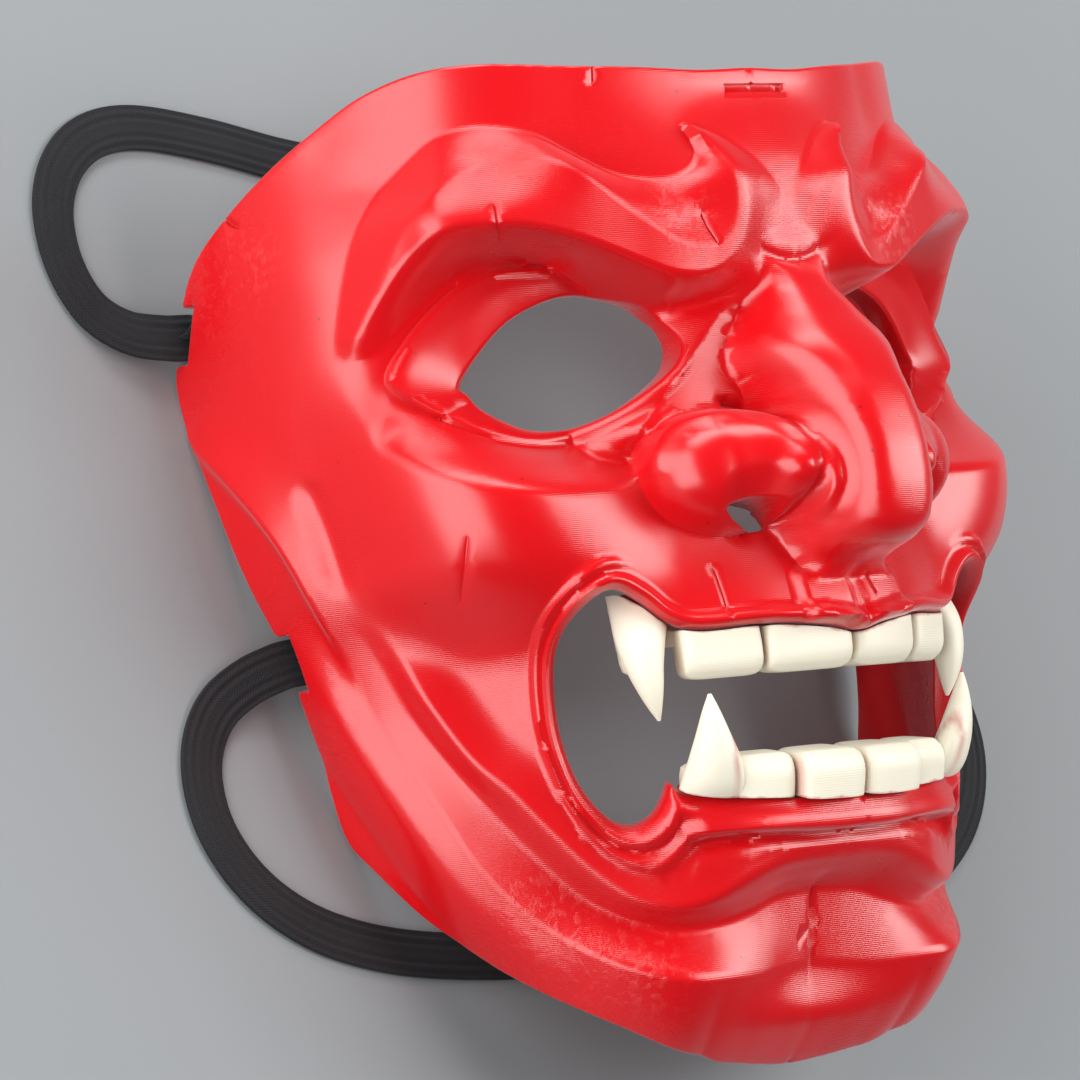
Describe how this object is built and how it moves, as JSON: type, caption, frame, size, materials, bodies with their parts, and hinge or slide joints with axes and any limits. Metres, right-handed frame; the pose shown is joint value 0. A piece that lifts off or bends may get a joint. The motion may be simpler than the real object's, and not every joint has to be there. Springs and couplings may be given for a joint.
{
  "type": "full-face samurai mask",
  "caption": "Rigid full-face mask with a snarling warrior's face: open eyes and mouth, teeth with fangs, heavy brows, and flat elastic bands through notches in its rim.",
  "frame": {"origin": "centre of the mask's outline seen from above, at the level of the surface it lies on", "axes": "+X towards the mask's own left cheek, +Y towards the forehead, +Z out of the face; the mask lies on the back of its rim, face up"},
  "size_m": [0.2312, 0.2244, 0.1119],
  "materials": {
    "red_plastic": "glossy signal-red plastic with very fine layer lines",
    "cream_plastic": "satin cream plastic, a little uneven",
    "elastic": "black woven elastic with lengthwise ribs"
  },
  "bodies": {
    "root": {"mask_shell": "red_plastic", "upper_teeth": "cream_plastic", "lower_teeth": "cream_plastic", "upper_strap": "elastic", "lower_strap": "elastic", "upper_strap_end_right": "elastic", "upper_strap_end_left": "elastic", "lower_strap_end_right": "elastic", "lower_strap_end_left": "elastic"}
  },
  "joints": []
}
